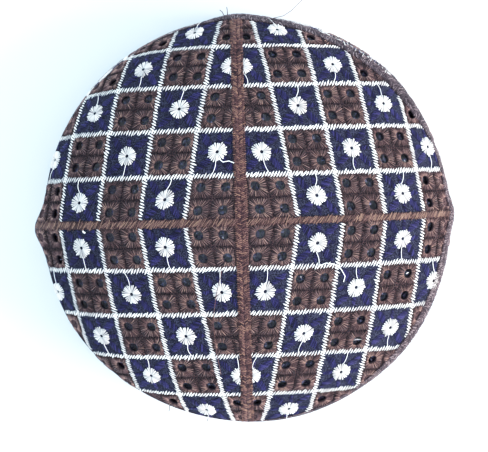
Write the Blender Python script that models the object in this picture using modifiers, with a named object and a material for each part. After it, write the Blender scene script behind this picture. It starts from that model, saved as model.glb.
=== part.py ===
# Prayer cap: an embroidered skullcap of four crown gores on an upright side wall.
# Metres, +Z up. The origin is at the centre of the rim's flat underside, +Y is the back of the cap
# and +X its right. The two crown seams lie in the planes through the crown's centre along X and Y.
import math

import bmesh
import bpy
from mathutils import Vector

# Cloth
CLOTH = 0.0015            # thickness of the embroidered cotton
BRAID = 0.0010            # thickness of the stitched bands over the seams
GAP = 0.0003              # clearance between neighbouring pieces
CELL = 0.01917            # side of one square of the embroidered grid

# Crown: a shallow dome that turns down towards its edge
CAP_HEIGHT = 0.0800
DOME_RADIUS = 0.1416
CENTRE_X = -0.0017        # the crown's centre lies off the rim's centre
CENTRE_Y = -0.0010
TURN_ARC = 0.0705         # from the crown's centre over the dome to where it turns down
TURN_BEND = 21.0          # bend of the turn, 1 over its radius in metres
TURN_RIGHT = -7.5         # it is gentler on the right and sharper on the left
TURN_BACK = 2.2
CROWN_ARC = 0.0935        # from the crown's centre to its edge
CROWN_RIGHT = 0.0009
CROWN_BACK = 0.0009
SQUARENESS = 0.0006       # it is a trace square between its seams
EDGE_BEND = 180.0         # bend of the fold between crown and wall

# The side seams end in small points: the azimuth, length and spread of each, and its ease, which
# is how much more gently the crown turns down there
SIDE_POINTS = (
    (0.0, 0.0018, math.radians(4.2), 0.17),
    (math.radians(181), 0.0050, math.radians(5.4), 0.27),
)

# Side wall: it hangs from the crown's edge to the rim, bulging a little and in soft waves
RIM_RADIUS_X = 0.0872
RIM_RADIUS_Y = 0.0868
WALL_BULGE = 0.0016
BULGE_MORE = 0.0010       # the bulge is larger towards the back right
BULGE_AZIMUTH = math.radians(40)
WALL_WAVE = 0.0006
WAVES = 3
WAVE_TURN = 0.6

# Gore pattern: the grid is straight along the side seams, and the long seam cuts across it
SEAM_START = -0.2235      # place of the long seam at the crown's centre, in cells
SEAM_LEAN = 0.1613        # cells that it shifts for each row away from the centre
SEAM_CURVE = 0.0041
GRID_ROWS = 6             # rows and columns of squares in the cloth that a gore is cut from
EYELET_RADIUS = 0.00185
EYELET_CLEAR = 0.0008     # cloth left between an eyelet and a band

# Bands
LONG_BAND = 0.0052        # width of the band from front to back
SIDE_BAND = 0.0038        # width of the bands to the sides
EDGE_BAND_ABOVE = 0.0018  # the edge band reaches this far over the crown
EDGE_BAND_BELOW = 0.0040  # and this far down over the fold
BINDING_HEIGHT = 0.0060
BINDING = 0.0008          # thickness of the folded tape round the rim

# Facets
QUARTER_STEPS = 13        # steps round a quarter of the cap
QUARTER_BIAS = 1.35       # they are closer together at the pointed side seams
BAND_STEPS = 12           # steps along half of a crown band
WALL_STEPS = 3            # steps down the wall to the binding
TINY = 0.00001            # step that slopes are measured over
SHARP = math.radians(45)  # edges sharper than this stay creased

BROWN = (0.205, 0.105, 0.075, 1.0)
NAVY = (0.045, 0.040, 0.155, 1.0)


def clear_scene():
    for thing in list(bpy.data.objects):
        bpy.data.objects.remove(thing, do_unlink=True)


def add_collection(name):
    collection = bpy.data.collections.new(name)
    bpy.context.scene.collection.children.link(collection)
    return collection


def add_material(name, color, roughness):
    material = bpy.data.materials.new(name)
    material.use_nodes = True
    shader = material.node_tree.nodes["Principled BSDF"]
    shader.inputs["Base Color"].default_value = color
    shader.inputs["Roughness"].default_value = roughness
    shader.inputs["Metallic"].default_value = 0.0
    return material


def add_object(name, mesh, collection, material=None):
    thing = bpy.data.objects.new(name, mesh)
    collection.objects.link(thing)
    if material is not None:
        mesh.materials.append(material)
    return thing


# Share of a side seam's point at an azimuth: 1 on the seam, fading to 0 beside it.
def point_share(azimuth, seam, spread):
    turn = (azimuth - seam + math.pi) % (2 * math.pi) - math.pi
    return math.exp(-(turn / spread) ** 2)


# Arc from the crown's centre to its edge, where the wall is sewn on.
def edge_arc(azimuth):
    arc = CROWN_ARC + CROWN_RIGHT * math.cos(azimuth) + CROWN_BACK * math.sin(azimuth)
    arc += SQUARENESS * math.cos(4 * azimuth)
    for seam, length, spread, ease in SIDE_POINTS:
        arc += length * point_share(azimuth, seam, spread)
    return arc


# The crown's section towards an azimuth, as the length and the bend of its dome, turn and fold.
def crown_section(azimuth):
    turn = edge_arc(azimuth) - TURN_ARC
    bend = TURN_BEND + TURN_RIGHT * math.cos(azimuth) + TURN_BACK * math.sin(azimuth)
    for seam, length, spread, ease in SIDE_POINTS:
        bend *= 1 - ease * point_share(azimuth, seam, spread)
    slope = TURN_ARC / DOME_RADIUS + turn * bend
    return (TURN_ARC, 1 / DOME_RADIUS), (turn, bend), ((math.pi / 2 - slope) / EDGE_BEND, EDGE_BEND)


# Arc from the crown's centre to the start of the wall, past the fold.
def wall_arc(azimuth):
    return sum(length for length, bend in crown_section(azimuth))


# Point of the cap's outer face at an arc length from the crown's centre, towards an azimuth.
def cap_point(arc, azimuth):
    out = 0.0
    drop = 0.0
    slope = 0.0
    rest = arc
    for length, bend in crown_section(azimuth):
        run = min(rest, length)
        end = slope + run * bend
        out += (math.sin(end) - math.sin(slope)) / bend
        drop += (math.cos(slope) - math.cos(end)) / bend
        slope = end
        rest -= run
    toward = Vector((math.cos(azimuth), math.sin(azimuth), 0))
    place = Vector((CENTRE_X, CENTRE_Y, CAP_HEIGHT - drop)) + toward * out
    if rest <= 0:
        return place
    share = rest / place.z
    rim = Vector((RIM_RADIUS_X * math.cos(azimuth), RIM_RADIUS_Y * math.sin(azimuth), 0))
    bulge = WALL_BULGE + BULGE_MORE * math.cos(azimuth - BULGE_AZIMUTH)
    bulge += WALL_WAVE * math.cos(WAVES * azimuth + WAVE_TURN)
    return place.lerp(rim, share) + toward * bulge * math.sin(math.pi * share) ** 2


# Arc length from the crown's centre down to a height on the wall.
def arc_at_height(height, azimuth):
    top = wall_arc(azimuth)
    return top + cap_point(top, azimuth).z - height


# Point of the crown by arcs across from the long seam and along from the side seams.
def crown_point(across, along):
    rise = along / DOME_RADIUS
    swing = across / (DOME_RADIUS * math.cos(rise))
    side = math.sin(swing) * math.cos(rise)
    up = math.cos(swing) * math.cos(rise)
    polar = math.atan2(math.hypot(side, math.sin(rise)), up)
    return cap_point(polar * DOME_RADIUS, math.atan2(math.sin(rise), side))


# Arcs across and along of the crown's point at an arc length and azimuth.
def crown_arcs(arc, azimuth):
    polar = arc / DOME_RADIUS
    rise = math.asin(math.sin(polar) * math.sin(azimuth))
    swing = math.atan2(math.sin(polar) * math.cos(azimuth), math.cos(polar))
    return swing * DOME_RADIUS * math.cos(rise), rise * DOME_RADIUS


# A surface's point at two of its arcs, lifted off along its outward normal.
def lifted(surface, first, second, lift):
    point = surface(first, second)
    along_first = surface(first + TINY, second) - surface(first - TINY, second)
    along_second = surface(first, second + TINY) - surface(first, second - TINY)
    return point + along_first.cross(along_second).normalized() * lift


# Arc from the grid's first line to the long seam, on the row at an arc along.
def seam_offset(along):
    row = along / CELL
    return CELL * (SEAM_START + SEAM_LEAN * row + SEAM_CURVE * row * row)


# Azimuths of the steps round the cap, mirrored in each quarter.
def azimuth_steps():
    quarter = [math.pi / 2 * (k / QUARTER_STEPS) ** QUARTER_BIAS for k in range(QUARTER_STEPS)]
    back_right = quarter + [math.pi / 2]
    back_left = [math.pi - azimuth for azimuth in reversed(quarter)]
    front_left = [math.pi + azimuth for azimuth in quarter[1:]] + [3 * math.pi / 2]
    front_right = [2 * math.pi - azimuth for azimuth in reversed(quarter[1:])]
    return back_right + back_left + front_left + front_right


# Outline of one gore as it is cut flat: the side seam, the outer edge and the long seam.
def gore_outline(side, end):
    outline = []
    for azimuth in azimuth_steps()[:QUARTER_STEPS + 1]:
        real = math.atan2(end * math.sin(azimuth), side * math.cos(azimuth))
        across, along = crown_arcs(edge_arc(real), azimuth)
        across = max(across, GAP / 2)
        along = max(along, GAP / 2)
        outline.append((across + seam_offset(along), along))
    top = outline[-1][1]
    for k in range(QUARTER_STEPS):
        along = top + (GAP / 2 - top) * (k + 1) / QUARTER_STEPS
        outline.append((GAP / 2 + seam_offset(along), along))
    return outline


# Whether a square of the grid is a brown one, with four eyelets.
def is_brown(column, row):
    return (column + row) % 2 == 0


# Whether an eyelet lies on open cloth, clear of the bands round its gore.
def eyelet_shows(x, y, side, end):
    edge = EYELET_RADIUS + EYELET_CLEAR
    across = x - seam_offset(y)
    rise = y / DOME_RADIUS
    swing = across / (DOME_RADIUS * math.cos(rise))
    polar = math.acos(math.cos(swing) * math.cos(rise))
    azimuth = math.atan2(end * math.sin(rise), side * math.sin(swing) * math.cos(rise))
    room = edge_arc(azimuth) - EDGE_BAND_ABOVE - polar * DOME_RADIUS
    return across > LONG_BAND / 2 + edge and y > SIDE_BAND / 2 + edge and room > edge


# Flat sheet of the grid with its eyelets open, one gore's worth and a little more.
def flat_cloth(side, end):
    cloth = bmesh.new()
    steps = 4 * (GRID_ROWS + 1)
    bmesh.ops.create_grid(cloth, x_segments=steps, y_segments=steps, size=(GRID_ROWS + 1) * CELL / 2)
    bmesh.ops.translate(cloth, verts=cloth.verts, vec=Vector((1, 1, 0)) * (GRID_ROWS - 1) * CELL / 2)
    holes = []
    spare = []
    for vert in cloth.verts:
        column = round(vert.co.x / CELL * 4)
        row = round(vert.co.y / CELL * 4)
        if column % 2 == 0 or row % 2 == 0:
            continue
        brown = is_brown(column // 4, row // 4)
        if brown and eyelet_shows(vert.co.x, vert.co.y, side, end):
            holes.append(vert)
        else:
            spare.append(vert)
    centres = {(round(v.co.x / CELL * 4), round(v.co.y / CELL * 4)): v.co.copy() for v in holes}
    bmesh.ops.dissolve_verts(cloth, verts=holes + spare)
    idle = []
    for vert in cloth.verts:
        column = round(vert.co.x / CELL * 4)
        row = round(vert.co.y / CELL * 4)
        if (column + row) % 2 == 0 or len(vert.link_faces) < 2:
            continue
        beside = [(column - 1, row), (column + 1, row)] if row % 2 else [(column, row - 1), (column, row + 1)]
        if not any(place in centres for place in beside):
            idle.append(vert)
    bmesh.ops.dissolve_verts(cloth, verts=idle)
    open_faces = []
    for face in cloth.faces:
        middle = face.calc_center_bounds()
        place = (round(middle.x / CELL * 4), round(middle.y / CELL * 4))
        if place in centres:
            open_faces.append(face)
    bmesh.ops.inset_individual(cloth, faces=open_faces, thickness=CELL / 10)
    for face in open_faces:
        middle = face.calc_center_bounds()
        for vert in face.verts:
            spoke = (vert.co - middle).normalized()
            turn = round(math.atan2(spoke.y, spoke.x) / (math.pi / 4)) * math.pi / 4
            vert.co = middle + Vector((math.cos(turn), math.sin(turn), 0)) * EYELET_RADIUS
    bmesh.ops.delete(cloth, geom=open_faces, context="FACES_ONLY")
    return cloth


# Closed block in the outline of a gore, to cut it out of the flat cloth.
def pattern_cutter(name, outline, collection):
    block = bmesh.new()
    corners = [block.verts.new((x, y, -2 * CLOTH)) for x, y in outline]
    floor = block.faces.new(corners)
    walls = bmesh.ops.extrude_face_region(block, geom=[floor])
    raised = [item for item in walls["geom"] if isinstance(item, bmesh.types.BMVert)]
    bmesh.ops.translate(block, verts=raised, vec=(0, 0, 4 * CLOTH))
    bmesh.ops.recalc_face_normals(block, faces=block.faces)
    mesh = bpy.data.meshes.new(name)
    block.to_mesh(mesh)
    block.free()
    cutter = add_object(name, mesh, collection)
    cutter.hide_render = True
    cutter.display_type = "WIRE"
    return cutter


# One gore: cut flat, then bent over the dome.
def add_gore(name, side, end, parts, cutters, material):
    sheet = flat_cloth(side, end)
    mesh = bpy.data.meshes.new(name + "_flat")
    sheet.to_mesh(mesh)
    sheet.free()
    flat = add_object(name + "_flat", mesh, cutters)
    solid = flat.modifiers.new("cloth", "SOLIDIFY")
    solid.thickness = CLOTH
    solid.offset = -1.0
    cut = flat.modifiers.new("pattern", "BOOLEAN")
    cut.operation = "INTERSECT"
    cut.solver = "EXACT"
    cut.object = pattern_cutter(name + "_pattern", gore_outline(side, end), cutters)
    bpy.context.view_layer.update()
    shaped = bpy.data.meshes.new_from_object(flat.evaluated_get(bpy.context.evaluated_depsgraph_get()))
    shaped.name = name
    bpy.data.objects.remove(flat, do_unlink=True)
    gore = bmesh.new()
    gore.from_mesh(shaped)
    bmesh.ops.remove_doubles(gore, verts=gore.verts, dist=TINY)
    bmesh.ops.triangulate(gore, faces=gore.faces)
    for vert in gore.verts:
        across = side * (vert.co.x - seam_offset(vert.co.y))
        along = end * vert.co.y
        vert.co = lifted(crown_point, across, along, vert.co.z)
    if side * end < 0:
        bmesh.ops.reverse_faces(gore, faces=gore.faces)
    gore.to_mesh(shaped)
    gore.free()
    shaped.shade_smooth()
    shaped.set_sharp_from_angle(angle=SHARP)
    return add_object(name, shaped, parts, material)


# Open strip of faces through rows of points, for a band.
def strip_mesh(name, rows, closed):
    strip = bmesh.new()
    lines = [[strip.verts.new(point) for point in row] for row in rows]
    following = lines[1:] + ([lines[0]] if closed else [])
    for line, after in zip(lines, following):
        for k in range(len(line) - 1):
            strip.faces.new((line[k], line[k + 1], after[k + 1], after[k]))
    mesh = bpy.data.meshes.new(name)
    strip.to_mesh(mesh)
    strip.free()
    mesh.shade_smooth()
    return mesh


# Band with the braid's thickness outside the strip that is modelled.
def add_band(name, rows, closed, parts, material):
    band = add_object(name, strip_mesh(name, rows, closed), parts, material)
    solid = band.modifiers.new("braid", "SOLIDIFY")
    solid.thickness = BRAID
    solid.offset = 1.0


# Arc over the crown along a seam, up to a little short of the edge band.
def band_reach(seam, width):
    spread = width / 2 / CROWN_ARC
    return min(edge_arc(seam - spread), edge_arc(seam + spread)) - EDGE_BAND_ABOVE - 2 * GAP


# Band over the seam from front to back, the whole length of the crown.
def add_long_band(parts, material):
    ends = [band_reach(seam, LONG_BAND) for seam in (-math.pi / 2, math.pi / 2)]
    rows = []
    for k in range(-BAND_STEPS, BAND_STEPS + 1):
        along = k / BAND_STEPS * ends[1 if k > 0 else 0]
        edges = (-LONG_BAND / 2, 0.0, LONG_BAND / 2)
        rows.append([lifted(crown_point, across, along, GAP) for across in edges])
    add_band("seam_band_long", rows, False, parts, material)


# Band over the seam from the long band to one side.
def add_side_band(name, side, parts, material):
    start = LONG_BAND / 2 + GAP
    end = band_reach(0.0 if side > 0 else math.pi, SIDE_BAND)
    rows = []
    for k in range(BAND_STEPS + 1):
        across = side * (start + (end - start) * k / BAND_STEPS)
        edges = (SIDE_BAND / 2, 0.0, -SIDE_BAND / 2)
        rows.append([lifted(crown_point, across, side * along, GAP) for along in edges])
    add_band(name, rows, False, parts, material)


# Band over the join of crown and wall, round the crown's edge.
def add_edge_band(parts, material):
    rows = []
    for azimuth in azimuth_steps():
        edge = edge_arc(azimuth)
        arcs = [edge + arc for arc in (-EDGE_BAND_ABOVE, 0.0, EDGE_BAND_BELOW / 2, EDGE_BAND_BELOW)]
        rows.append([lifted(cap_point, arc, azimuth, GAP) for arc in arcs])
    add_band("crown_edge_band", rows, True, parts, material)


# Closed ring lofted through the cap's sections, one loop of points for each step round it.
def add_ring(name, loops, parts, material):
    ring = bmesh.new()
    made = [[ring.verts.new(point) for point in loop] for loop in loops]
    for loop, after in zip(made, made[1:] + made[:1]):
        for k, vert in enumerate(loop):
            j = (k + 1) % len(loop)
            ring.faces.new((vert, after[k], after[j], loop[j]))
    bmesh.ops.recalc_face_normals(ring, faces=ring.faces)
    mesh = bpy.data.meshes.new(name)
    ring.to_mesh(mesh)
    ring.free()
    mesh.shade_smooth()
    mesh.set_sharp_from_angle(angle=SHARP)
    add_object(name, mesh, parts, material)


# Side wall: one upright strip from the crown's edge down into the folded binding.
def add_side_wall(parts, material):
    foot = BINDING + GAP
    loops = []
    for azimuth in azimuth_steps():
        start = edge_arc(azimuth) + GAP
        folded = wall_arc(azimuth)
        bottom = arc_at_height(foot, azimuth)
        bound = arc_at_height(BINDING_HEIGHT, azimuth)
        steps = [folded + (bound - folded) * k / WALL_STEPS for k in range(WALL_STEPS + 1)]
        arcs = [start, (start + folded) / 2] + steps + [bottom]
        outer = [lifted(cap_point, arc, azimuth, 0.0) for arc in arcs]
        inner = [lifted(cap_point, arc, azimuth, -CLOTH) for arc in reversed(arcs)]
        loops.append(outer + inner)
    add_ring("side_wall", loops, parts, material)


# Binding: a tape folded up over the rim, whose underside is the flat face that the cap rests on.
def add_rim_binding(parts, material):
    outer = GAP + BINDING
    inner = -CLOTH - GAP - BINDING
    section = (
        (outer, 0.0),
        (outer, BINDING_HEIGHT),
        (GAP, BINDING_HEIGHT),
        (GAP, BINDING),
        (-CLOTH - GAP, BINDING),
        (-CLOTH - GAP, BINDING_HEIGHT),
        (inner, BINDING_HEIGHT),
        (inner, 0.0),
    )
    loops = []
    for azimuth in azimuth_steps():
        loop = []
        for lift, height in section:
            point = lifted(cap_point, arc_at_height(height, azimuth), azimuth, lift)
            point.z = height
            loop.append(point)
        loops.append(loop)
    add_ring("rim_binding", loops, parts, material)


def main():
    clear_scene()
    parts = add_collection("prayer_cap")
    cutters = add_collection("cutters")
    cloth = add_material("embroidered_cotton", NAVY, 0.85)
    braid = add_material("brown_braid", BROWN, 0.75)
    for end, depth in ((1, "back"), (-1, "front")):
        for side, hand in ((1, "right"), (-1, "left")):
            add_gore(f"crown_gore_{depth}_{hand}", side, end, parts, cutters, cloth)
    add_long_band(parts, braid)
    add_side_band("seam_band_right", 1, parts, braid)
    add_side_band("seam_band_left", -1, parts, braid)
    add_edge_band(parts, braid)
    add_side_wall(parts, cloth)
    add_rim_binding(parts, braid)


main()
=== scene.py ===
# Prayer cap: its cotton, its satin stitch and its eyelets, laid out flat as the maker works them and
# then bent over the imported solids. Metres, +Z up, +Y the back of the cap and +X its right.
import math
from functools import partial

import bmesh
import bpy
import numpy as np
from mathutils import Matrix, Vector


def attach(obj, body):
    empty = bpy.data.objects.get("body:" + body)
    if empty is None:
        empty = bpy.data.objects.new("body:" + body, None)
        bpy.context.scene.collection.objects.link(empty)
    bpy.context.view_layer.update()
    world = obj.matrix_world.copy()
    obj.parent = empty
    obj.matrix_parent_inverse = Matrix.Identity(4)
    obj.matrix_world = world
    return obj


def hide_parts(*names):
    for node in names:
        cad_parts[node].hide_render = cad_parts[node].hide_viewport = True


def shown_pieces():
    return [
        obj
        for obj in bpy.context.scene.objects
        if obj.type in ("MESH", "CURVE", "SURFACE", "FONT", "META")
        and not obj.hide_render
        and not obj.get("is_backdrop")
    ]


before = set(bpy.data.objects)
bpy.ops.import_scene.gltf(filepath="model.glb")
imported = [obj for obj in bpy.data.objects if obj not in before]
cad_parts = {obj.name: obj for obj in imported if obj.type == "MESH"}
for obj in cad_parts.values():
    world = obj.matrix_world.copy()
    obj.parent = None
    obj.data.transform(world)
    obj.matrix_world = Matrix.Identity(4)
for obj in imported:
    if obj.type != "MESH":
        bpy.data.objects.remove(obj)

scene = bpy.context.scene
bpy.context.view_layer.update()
mm = 0.001

# The cap's own shape, as the solids have it, with azimuths in degrees from +X
form = {
    "cell": 0.01917,              # side of one square of the embroidered grid
    "height": 0.0800,
    "domeRadius": 0.1416,
    "centreX": -0.0017,           # the crown's centre lies off the rim's centre
    "centreY": -0.0010,
    "turnArc": 0.0705,            # from the crown's centre over the dome to where it turns down
    "turnBend": 21.0,
    "turnRight": -7.5,
    "turnBack": 2.2,
    "crownArc": 0.0935,           # from the crown's centre to its edge
    "crownRight": 0.0009,
    "crownBack": 0.0009,
    "squareness": 0.0006,
    "edgeBend": 180.0,            # bend of the fold between crown and wall
    # azimuth and spread of the side seams' points, how far they reach and how much straighter they lie
    "sidePoints": ((0, 4.2, 0.0018, 0.17), (181, 5.4, 0.0042, 0.27)),
    "rimX": 0.0872,
    "rimY": 0.0868,
    "wallBulge": 0.0016,
    "bulgeMore": 0.0010,
    "bulgeAzimuth": 40,
    "wallWave": 0.0006,
    "waves": 3,
    "waveTurn": 0.6,
    # azimuth, spread and depth of the places where the soft wall sinks in
    "dents": ((104, 24, 0.0022), (15, 30, 0.0009), (74, 12, 0.0008)),
    # and where the crown stands out over it: azimuth, spread and how much straighter it turns down
    "overhangs": ((-150, 30, 7.0), (-72, 20, 3.0), (-40, 18, 5.0), (42, 12, 5.0), (90, 7, 5.0), (154, 16, 4.0)),
    "seamStart": -0.2235,         # place of the long seam at the crown's centre, in cells
    "seamLean": 0.1613,
    "seamCurve": 0.0041,
    "longBand": 0.0052,           # widths of the bands over the seams
    "sideBand": 0.0038,
    "edgeAbove": 0.0018,          # the edge band's reach over the crown and down over the fold
    "edgeBelow": 0.0040,
    "binding": 0.0060,            # height of the tape round the rim
    "cloth": 0.0015,
    "eyelet": 0.0020,             # radius of an eyelet, before the thread wrapped over its edge
}
cell = form["cell"]


# Small helpers

def linear(hexCode):
    # sRGB hex to the linear colour that shaders take
    parts = [int(hexCode[k:k + 2], 16) / 255 for k in (1, 3, 5)]
    return tuple(c / 12.92 if c <= 0.04045 else ((c + 0.055) / 1.055) ** 2.4 for c in parts) + (1.0,)


def setInputs(node, inputs):
    # each input takes a plain value or another node's output
    for key, value in inputs.items():
        if isinstance(value, bpy.types.NodeSocket):
            node.id_data.links.new(value, node.inputs[key])
        else:
            node.inputs[key].default_value = value


def addNode(tree, kind, inputs={}, **settings):
    node = tree.nodes.new(kind)
    for key, value in settings.items():
        setattr(node, key, value)
    setInputs(node, inputs)
    return node


def calc(tree, operation, *values, **settings):
    return addNode(tree, "ShaderNodeMath", dict(enumerate(values)), operation=operation, **settings).outputs[0]


def addPiece(name, mesh, material=None):
    piece = bpy.data.objects.new(name, mesh)
    scene.collection.objects.link(piece)
    if material is not None:
        mesh.materials.clear()
        mesh.materials.append(materials[material])
    mesh.shade_smooth()
    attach(piece, "root")
    return piece


# The cap's surface, worked out for whole arrays of points at once

def pointShare(azimuth, middle, spread):
    # 1 at a place round the cap, falling to 0 past its spread
    turn = (azimuth - math.radians(middle) + math.pi) % (2 * math.pi) - math.pi
    return np.exp(-(turn / math.radians(spread)) ** 2)


def edgeArc(azimuth):
    arc = form["crownArc"] + form["crownRight"] * np.cos(azimuth) + form["crownBack"] * np.sin(azimuth)
    arc = arc + form["squareness"] * np.cos(4 * azimuth)
    for middle, spread, length, ease in form["sidePoints"]:
        arc = arc + length * pointShare(azimuth, middle, spread)
    return arc


def crownSection(azimuth):
    # length and bend of the dome, the turn and the fold, towards an azimuth
    turn = edgeArc(azimuth) - form["turnArc"]
    bend = form["turnBend"] + form["turnRight"] * np.cos(azimuth) + form["turnBack"] * np.sin(azimuth)
    for middle, spread, length, ease in form["sidePoints"]:
        bend = bend * (1 - ease * pointShare(azimuth, middle, spread))
    for middle, spread, less in form["overhangs"]:
        bend = bend - less * pointShare(azimuth, middle, spread)
    slope = form["turnArc"] / form["domeRadius"] + turn * bend
    fold = (math.pi / 2 - slope) / form["edgeBend"]
    return (form["turnArc"], 1 / form["domeRadius"]), (turn, bend), (fold, form["edgeBend"])


def wallArc(azimuth):
    return sum(length for length, bend in crownSection(azimuth))


def capPoint(arc, azimuth):
    arc, azimuth = np.broadcast_arrays(np.asarray(arc, float), np.asarray(azimuth, float))
    out, drop, slope = np.zeros(arc.shape), np.zeros(arc.shape), np.zeros(arc.shape)
    rest = arc.copy()
    for length, bend in crownSection(azimuth):
        run = np.minimum(rest, length)
        end = slope + run * bend
        out += (np.sin(end) - np.sin(slope)) / bend
        drop += (np.cos(slope) - np.cos(end)) / bend
        slope = end
        rest = rest - run
    toX, toY, flat = np.cos(azimuth), np.sin(azimuth), np.zeros(arc.shape)
    place = np.stack([form["centreX"] + toX * out, form["centreY"] + toY * out, form["height"] - drop], -1)
    share = np.maximum(rest, 0) / place[..., 2]
    rim = np.stack([form["rimX"] * toX, form["rimY"] * toY, flat], -1)
    bulge = form["wallBulge"] + form["bulgeMore"] * np.cos(azimuth - math.radians(form["bulgeAzimuth"]))
    bulge = bulge + form["wallWave"] * np.cos(form["waves"] * azimuth + form["waveTurn"])
    for middle, spread, depth in form["dents"]:
        bulge = bulge - depth * pointShare(azimuth, middle, spread)
    push = bulge * np.sin(math.pi * share) ** 2
    share = share[..., None]
    return place * (1 - share) + rim * share + np.stack([toX * push, toY * push, flat], -1)


def crownPolar(across, along):
    # arc from the centre and azimuth of a crown point given by its arcs from the two seams
    rise = along / form["domeRadius"]
    swing = across / (form["domeRadius"] * np.cos(rise))
    side, up = np.sin(swing) * np.cos(rise), np.cos(swing) * np.cos(rise)
    polar = np.arctan2(np.hypot(side, np.sin(rise)), up)
    return polar * form["domeRadius"], np.arctan2(np.sin(rise), side)


def crownPoint(across, along):
    return capPoint(*crownPolar(across, along))


def lifted(surface, first, second, lift):
    tiny = 1e-5
    alongFirst = surface(first + tiny, second) - surface(first - tiny, second)
    alongSecond = surface(first, second + tiny) - surface(first, second - tiny)
    normal = np.cross(alongFirst, alongSecond)
    normal /= np.linalg.norm(normal, axis=-1, keepdims=True)
    return surface(first, second) + normal * np.asarray(lift)[..., None]


def seamOffset(along):
    row = along / cell
    return cell * (form["seamStart"] + form["seamLean"] * row + form["seamCurve"] * row * row)


# Flat layouts. Each gore's cloth lies in its own quarter of a table, a margin off the middle lines

layout = {
    "margin": 0.05,
    "gap": 0.00045,               # cloth ends this far from the middle of a seam
    "hem": 0.0018,                # the gores' cloth runs this far past the crown's edge
    "spill": 0.0030,              # stitches past the crown's edge are tucked under its band
    "pressed": 0.3,               # share of its height that a stitch keeps under a band
    "pressedOver": 0.5 * mm,      # from the band's side inwards
    "shownThin": (-1.3 * mm, 1.5 * mm),  # where the edge band shows this little it's thinner
    "thinness": (0.4, 1.0),
    "squares": 6,                 # along each side of a gore's cloth, so that it reaches the edge
    "wallRadius": 0.0873,         # the wall is laid out flat at this radius
    "wallRow": 0.0192,            # height of one row of its squares
    "wallColumns": 24,
    "wallTurn": 4.6,              # azimuth of its first line, clear of the side seams
}
gores = [{"name": name, "side": side, "end": end} for name, side, end in
         (("back_right", 1, 1), ("back_left", -1, 1), ("front_right", 1, -1), ("front_left", -1, -1))]
goreSquares = [(column, row) for column in range(-1, layout["squares"]) for row in range(layout["squares"])]
wallSquares = [(column, level) for column in range(layout["wallColumns"]) for level in (0, 1)]
quarters = [(0, 0), (0, 1), (1, 0), (1, 1)]
wallRound = 2 * math.pi * layout["wallRadius"]
wallCell = wallRound / layout["wallColumns"]
wallStart = math.radians(layout["wallTurn"]) * layout["wallRadius"]


def isNavy(column, row):
    return (column + row) % 2 == 1


def tablePlace(gore, x, y):
    return gore["side"] * (layout["margin"] + x), gore["end"] * (layout["margin"] + y)


def gorePlace(column, row):
    return np.array((column, row)) * cell


def wallPlace(column, level):
    return np.array((wallStart + column * wallCell, form["binding"] + level * layout["wallRow"]))


def gorePolar(tableX, tableY, spill):
    side, end = np.sign(tableX), np.sign(tableY)
    along = np.maximum(np.abs(tableY) - layout["margin"], layout["gap"])
    across = np.maximum(np.abs(tableX) - layout["margin"] - seamOffset(along), layout["gap"])
    arc, azimuth = crownPolar(side * across, end * along)
    return np.minimum(arc, edgeArc(azimuth) + spill), azimuth


def overGores(flat):
    # stitches that run under a band are pressed flat by it
    along = np.abs(flat[:, 1]) - layout["margin"]
    across = np.abs(flat[:, 0]) - layout["margin"] - seamOffset(along)
    pressed = np.ones(len(flat))
    for room, width in ((across, form["longBand"]), (along, form["sideBand"])):
        under = np.interp(room, (width / 2 - layout["pressedOver"], width / 2), (layout["pressed"], 1.0))
        pressed = np.minimum(pressed, under)
    arc, azimuth = gorePolar(flat[:, 0], flat[:, 1], layout["spill"])
    return lifted(capPoint, arc, azimuth, flat[:, 2] * pressed)


def overSeams(flat):
    return lifted(crownPoint, flat[:, 0], flat[:, 1], flat[:, 2])


# degrees round the cap, and how far the edge band shows over the crown there, or stops short of it, in mm
bandShows = ((-180, -0.5), (-172, -0.5), (-160, -1.3), (-98, -1.3), (-80, -0.6), (-60, 0.0), (-40, 1.6),
             (-25, 2.4), (-10, 2.0), (0, 1.0), (12, 0.3), (22, 0.3), (34, 3.4), (50, 4.0), (60, 3.4),
             (72, 3.0), (84, 3.2), (95, 1.6), (105, 0.0), (116, -1.2), (160, -1.3), (172, -0.7), (180, -0.5))


def edgeReach(azimuth):
    degrees = (np.degrees(azimuth) + 180) % 360 - 180
    return np.interp(degrees, [pair[0] for pair in bandShows], [pair[1] * mm for pair in bandShows])


def overEdge(flat):
    # along the crown's edge by x, and up over the crown from it by y; where it shows less it's thinner
    azimuth = flat[:, 0] / layout["wallRadius"]
    reach = edgeReach(azimuth)
    share = (flat[:, 1] + form["edgeBelow"]) / (form["edgeAbove"] + form["edgeBelow"])
    above = share * (reach + form["edgeBelow"]) - form["edgeBelow"]
    thin = np.interp(reach, layout["shownThin"], layout["thinness"])
    return lifted(capPoint, edgeArc(azimuth) - above, azimuth, flat[:, 2] * thin)


def overWall(flat):
    # round the wall by x, and up from the floor by y, with the wall's height taken up by its rows
    azimuth = flat[:, 0] / layout["wallRadius"]
    top = wallArc(azimuth)
    topHeight = capPoint(top, azimuth)[..., 2]
    foot = form["binding"]
    share = (flat[:, 1] - foot) / (2 * layout["wallRow"])
    height = np.where(share > 0, foot + share * (topHeight - foot), flat[:, 1])
    return lifted(capPoint, top + topHeight - height, azimuth, flat[:, 2])


def overRim(flat):
    placed = overWall(flat)
    placed[:, 2] = np.maximum(flat[:, 1], 0.0)
    return placed


def bendMesh(mesh, bend):
    # takes a mesh laid out flat, with its height above the cloth as z, to its place on the cap
    flat = np.zeros(len(mesh.vertices) * 3, np.float32)
    mesh.vertices.foreach_get("co", flat)
    placed = bend(flat.reshape(-1, 3).astype(float))
    mesh.vertices.foreach_set("co", placed.astype(np.float32).ravel())
    mesh.update()
    return mesh


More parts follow.
